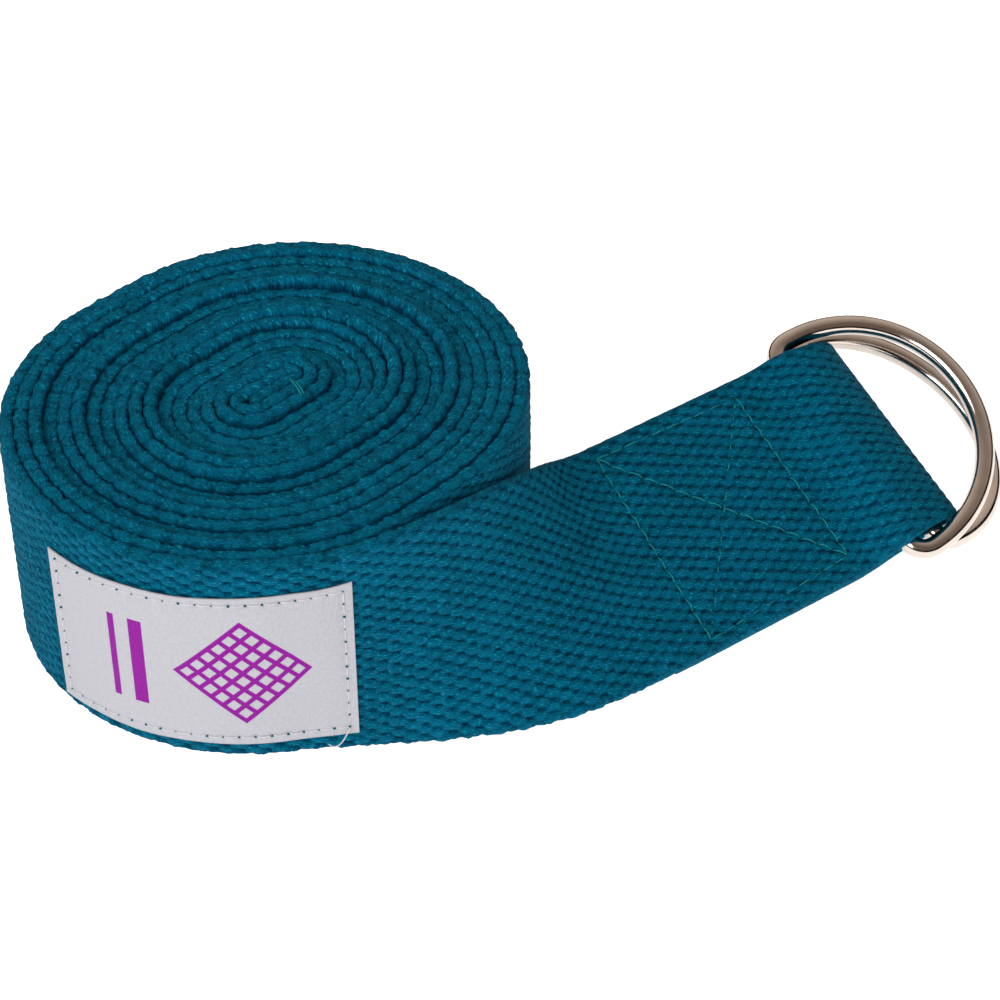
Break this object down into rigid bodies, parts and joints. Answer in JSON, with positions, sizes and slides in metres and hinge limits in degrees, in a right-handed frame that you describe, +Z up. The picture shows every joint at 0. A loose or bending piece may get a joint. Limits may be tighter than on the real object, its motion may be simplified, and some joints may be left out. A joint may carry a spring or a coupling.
{
  "type": "stretching strap",
  "caption": "Long flat woven cotton strap rolled up on its edge, its free end folded and box-stitched round a pair of wire D-rings that form a cinch loop.",
  "frame": {"origin": "centre of the roll, on the flat face of webbing edges that the roll stands on", "axes": "+Z up along the roll's axis, across the strap's width; +X from the roll towards the ring end"},
  "size_m": [0.1594, 0.0852, 0.0388],
  "materials": {
    "webbing": "matt woven cotton",
    "ring_metal": "polished nickel plate",
    "label_tape": "smooth woven tape",
    "thread": "twisted polyester"
  },
  "bodies": {
    "strap": {"webbing_coil": "webbing", "webbing_lead": "webbing", "webbing_ring_loop": "webbing", "label": "label_tape", "label_seam_thread": "thread", "box_x_needle_thread": "thread", "box_x_bobbin_thread": "thread", "hem_thread_tails": "thread"},
    "upper_ring": {"d_ring_upper": "ring_metal"},
    "lower_ring": {"d_ring_lower": "ring_metal"}
  },
  "joints": [
    {"name": "upper_ring_swing", "type": "hinge", "parent": "strap", "child": "upper_ring", "pos_m": [0.09082, 0.01318, 0.01376], "axis": [0.5465, -0.7066, -0.4495], "range_deg": [0, 130]},
    {"name": "lower_ring_swing", "type": "hinge", "parent": "strap", "child": "lower_ring", "pos_m": [0.09538, 0.01849, 0.01107], "axis": [0.5416, -0.7509, -0.378], "range_deg": [-100, 0]}
  ]
}
